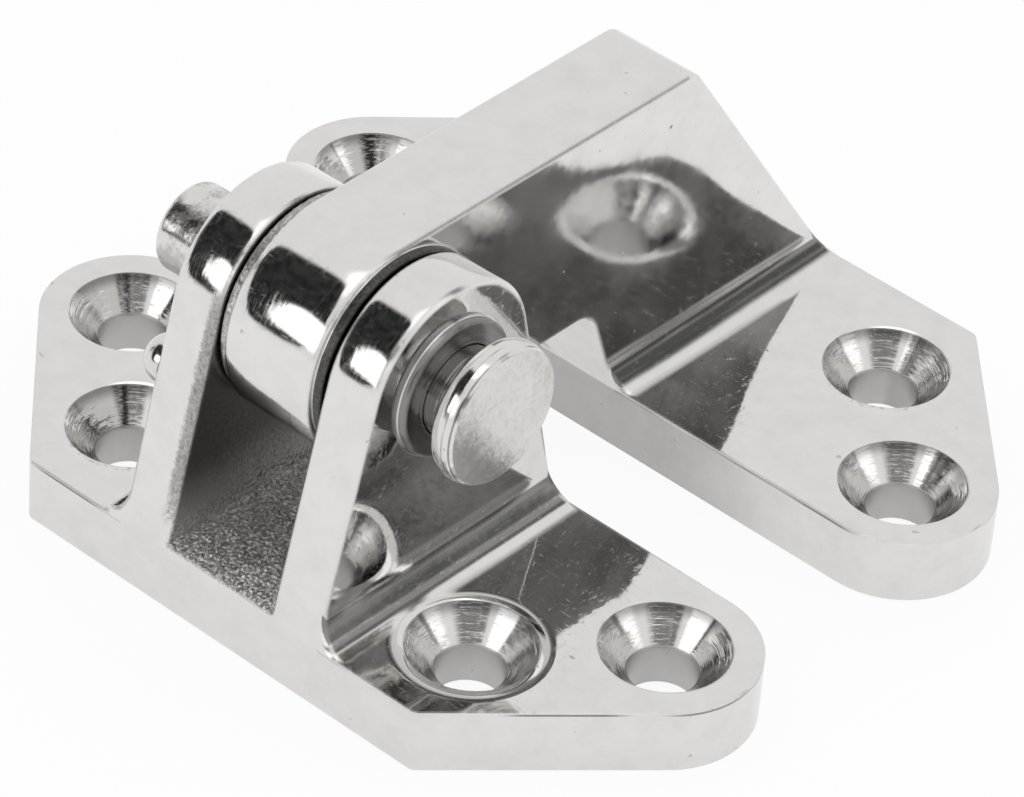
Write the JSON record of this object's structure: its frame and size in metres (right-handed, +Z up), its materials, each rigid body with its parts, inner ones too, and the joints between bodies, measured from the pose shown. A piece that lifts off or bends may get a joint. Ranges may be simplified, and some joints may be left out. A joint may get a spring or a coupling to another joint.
{
  "type": "deck hinge",
  "caption": "Polished stainless deck hinge with a removable pin: a forked base plate and an arm on a base plate turn about the pin.",
  "frame": {"origin": "on the deck under the middle of the hinge: the middle plane across the pin, half way between the outer edges of the two base plates, at the underside of the plates", "axes": "+X along the pin axis towards the pin's head, +Y from the forked bracket to the arm bracket, +Z up off the deck"},
  "size_m": [0.076, 0.0706, 0.0347],
  "materials": {
    "cast_stainless": "polished",
    "turned_stainless": "satin"
  },
  "bodies": {
    "fork": {"fork_bracket": "cast_stainless", "ear_stud": "turned_stainless"},
    "arm": {"arm_bracket": "cast_stainless"},
    "pin": {"hinge_pin": "turned_stainless"}
  },
  "joints": [
    {"name": "arm_turn", "type": "hinge", "parent": "fork", "child": "arm", "pos_m": [0, -0.0212, 0.0251], "axis": [1, 0, 0], "range_deg": [0, 180]},
    {"name": "pin_pull", "type": "slide", "parent": "fork", "child": "pin", "axis": [1, 0, 0], "range_m": [-0.0025, 0.032]}
  ]
}
